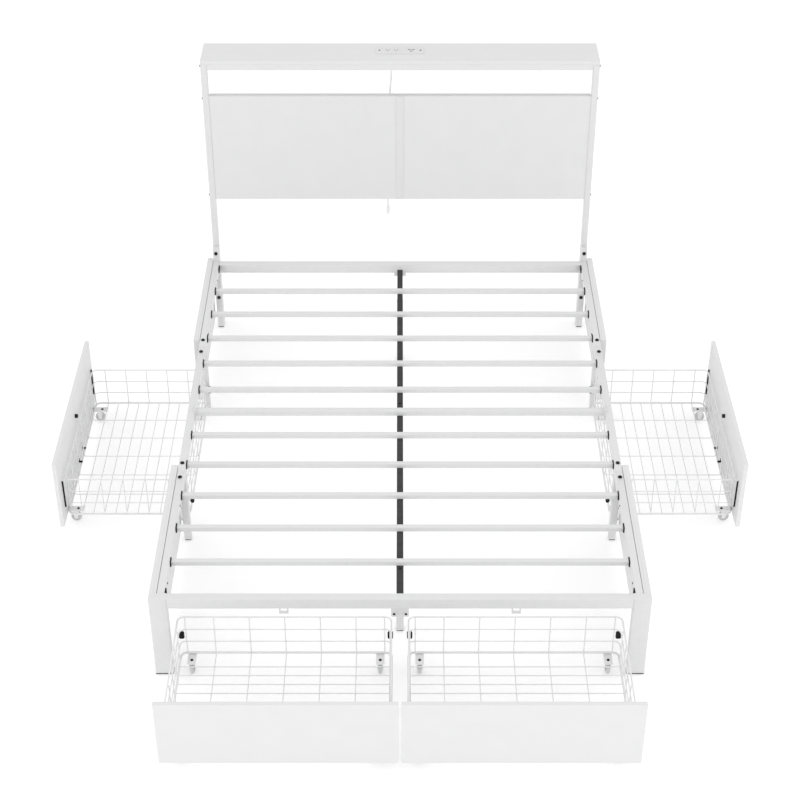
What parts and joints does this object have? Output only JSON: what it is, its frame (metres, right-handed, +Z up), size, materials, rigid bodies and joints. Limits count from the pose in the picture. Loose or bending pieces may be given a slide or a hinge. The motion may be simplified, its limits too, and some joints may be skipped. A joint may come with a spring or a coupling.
{
  "type": "platform bed with storage drawers",
  "caption": "Queen metal platform bed with slats, a shelf headboard with a power station, and pull-out wire-basket drawers with board fronts.",
  "frame": {"origin": "on the floor below the centre of the whole object, with all four drawers pulled out", "axes": "+X right seen from the foot, +Y towards the headboard, +Z up"},
  "size_m": [2.442, 2.698, 1.2139],
  "materials": {
    "frame_white": "white powder coat, satin",
    "beam_black": "black powder coat, satin",
    "wire_white": "white powder coat on steel wire",
    "board_white": "white melamine on particle board",
    "black_plastic": "fine moulded grain",
    "black_steel": "black oxide",
    "wheel_grey": "moulded nylon",
    "station_plastic": "fine moulded grain",
    "cord_white": "smooth PVC sheath"
  },
  "bodies": {
    "bed_frame": {"center_beam": "beam_black", "center_legs": "frame_white", "cord_strain_relief": "cord_white", "crossbar": "frame_white", "foot_pads": "black_plastic", "foot_rail": "frame_white", "frame_bolts": "black_steel", "head_legs": "frame_white", "head_rail": "frame_white", "headboard_inner_frame": "frame_white", "left_cover_foot": "board_white", "left_cover_head": "board_white", "left_foot_leg": "frame_white", "left_headboard_panel": "board_white", "left_post": "frame_white", "left_rail_foot": "frame_white", "left_rail_head": "frame_white", "left_rail_middle": "frame_white", "mid_legs": "frame_white", "power_cord": "cord_white", "power_plug": "cord_white", "power_station_housing": "station_plastic", "power_station_plate": "station_plastic", "rail_brackets": "frame_white", "right_cover_foot": "board_white", "right_cover_head": "board_white", "right_foot_leg": "frame_white", "right_headboard_panel": "board_white", "right_post": "frame_white", "right_rail_foot": "frame_white", "right_rail_head": "frame_white", "right_rail_middle": "frame_white", "shelf_board": "board_white", "shelf_skirt": "board_white", "slat_caps": "black_plastic", "slats": "frame_white"},
    "foot_left_drawer": {"foot_left_drawer_front": "board_white", "foot_left_drawer_basket": "wire_white", "foot_left_drawer_fittings": "black_plastic", "foot_left_drawer_caster_forks": "wire_white"},
    "foot_left_drawer_rear_wheels_body": {"foot_left_drawer_rear_wheels": "wheel_grey"},
    "foot_left_drawer_front_wheels_body": {"foot_left_drawer_front_wheels": "wheel_grey"},
    "foot_right_drawer": {"foot_right_drawer_front": "board_white", "foot_right_drawer_basket": "wire_white", "foot_right_drawer_fittings": "black_plastic", "foot_right_drawer_caster_forks": "wire_white"},
    "foot_right_drawer_rear_wheels_body": {"foot_right_drawer_rear_wheels": "wheel_grey"},
    "foot_right_drawer_front_wheels_body": {"foot_right_drawer_front_wheels": "wheel_grey"},
    "right_side_drawer": {"right_side_drawer_front": "board_white", "right_side_drawer_basket": "wire_white", "right_side_drawer_fittings": "black_plastic", "right_side_drawer_caster_forks": "wire_white"},
    "right_side_drawer_rear_wheels_body": {"right_side_drawer_rear_wheels": "wheel_grey"},
    "right_side_drawer_front_wheels_body": {"right_side_drawer_front_wheels": "wheel_grey"},
    "left_side_drawer": {"left_side_drawer_front": "board_white", "left_side_drawer_basket": "wire_white", "left_side_drawer_fittings": "black_plastic", "left_side_drawer_caster_forks": "wire_white"},
    "left_side_drawer_rear_wheels_body": {"left_side_drawer_rear_wheels": "wheel_grey"},
    "left_side_drawer_front_wheels_body": {"left_side_drawer_front_wheels": "wheel_grey"}
  },
  "joints": [
    {"name": "foot_left_drawer_slide", "type": "slide", "parent": "bed_frame", "child": "foot_left_drawer", "axis": [0, -1, 0], "range_m": [-0.421, 0]},
    {"name": "foot_left_drawer_rear_wheels_roll", "type": "hinge", "parent": "foot_left_drawer", "child": "foot_left_drawer_rear_wheels_body", "pos_m": [-0.372, -0.918, 0.02], "axis": [1, 0, 0], "continuous": true},
    {"name": "foot_left_drawer_front_wheels_roll", "type": "hinge", "parent": "foot_left_drawer", "child": "foot_left_drawer_front_wheels_body", "pos_m": [-0.372, -1.307, 0.02], "axis": [1, 0, 0], "continuous": true},
    {"name": "foot_right_drawer_slide", "type": "slide", "parent": "bed_frame", "child": "foot_right_drawer", "axis": [0, -1, 0], "range_m": [-0.421, 0]},
    {"name": "foot_right_drawer_rear_wheels_roll", "type": "hinge", "parent": "foot_right_drawer", "child": "foot_right_drawer_rear_wheels_body", "pos_m": [0.372, -0.918, 0.02], "axis": [1, 0, 0], "continuous": true},
    {"name": "foot_right_drawer_front_wheels_roll", "type": "hinge", "parent": "foot_right_drawer", "child": "foot_right_drawer_front_wheels_body", "pos_m": [0.372, -1.307, 0.02], "axis": [1, 0, 0], "continuous": true},
    {"name": "right_side_drawer_slide", "type": "slide", "parent": "bed_frame", "child": "right_side_drawer", "axis": [1, 0, 0], "range_m": [-0.421, 0]},
    {"name": "right_side_drawer_rear_wheels_roll", "type": "hinge", "parent": "right_side_drawer", "child": "right_side_drawer_rear_wheels_body", "pos_m": [0.79, 0.174, 0.02], "axis": [0, 1, 0], "continuous": true},
    {"name": "right_side_drawer_front_wheels_roll", "type": "hinge", "parent": "right_side_drawer", "child": "right_side_drawer_front_wheels_body", "pos_m": [1.179, 0.174, 0.02], "axis": [0, 1, 0], "continuous": true},
    {"name": "left_side_drawer_slide", "type": "slide", "parent": "bed_frame", "child": "left_side_drawer", "axis": [-1, 0, 0], "range_m": [-0.421, 0]},
    {"name": "left_side_drawer_rear_wheels_roll", "type": "hinge", "parent": "left_side_drawer", "child": "left_side_drawer_rear_wheels_body", "pos_m": [-0.79, 0.174, 0.02], "axis": [0, -1, 0], "continuous": true},
    {"name": "left_side_drawer_front_wheels_roll", "type": "hinge", "parent": "left_side_drawer", "child": "left_side_drawer_front_wheels_body", "pos_m": [-1.179, 0.174, 0.02], "axis": [0, -1, 0], "continuous": true}
  ],
  "couplings": [
    {"joint": "foot_left_drawer_rear_wheels_roll", "follows": "foot_left_drawer_slide", "rad_per_m": 51.282},
    {"joint": "foot_left_drawer_front_wheels_roll", "follows": "foot_left_drawer_slide", "rad_per_m": 51.282},
    {"joint": "foot_right_drawer_rear_wheels_roll", "follows": "foot_right_drawer_slide", "rad_per_m": 51.282},
    {"joint": "foot_right_drawer_front_wheels_roll", "follows": "foot_right_drawer_slide", "rad_per_m": 51.282},
    {"joint": "right_side_drawer_rear_wheels_roll", "follows": "right_side_drawer_slide", "rad_per_m": 51.282},
    {"joint": "right_side_drawer_front_wheels_roll", "follows": "right_side_drawer_slide", "rad_per_m": 51.282},
    {"joint": "left_side_drawer_rear_wheels_roll", "follows": "left_side_drawer_slide", "rad_per_m": 51.282},
    {"joint": "left_side_drawer_front_wheels_roll", "follows": "left_side_drawer_slide", "rad_per_m": 51.282}
  ]
}
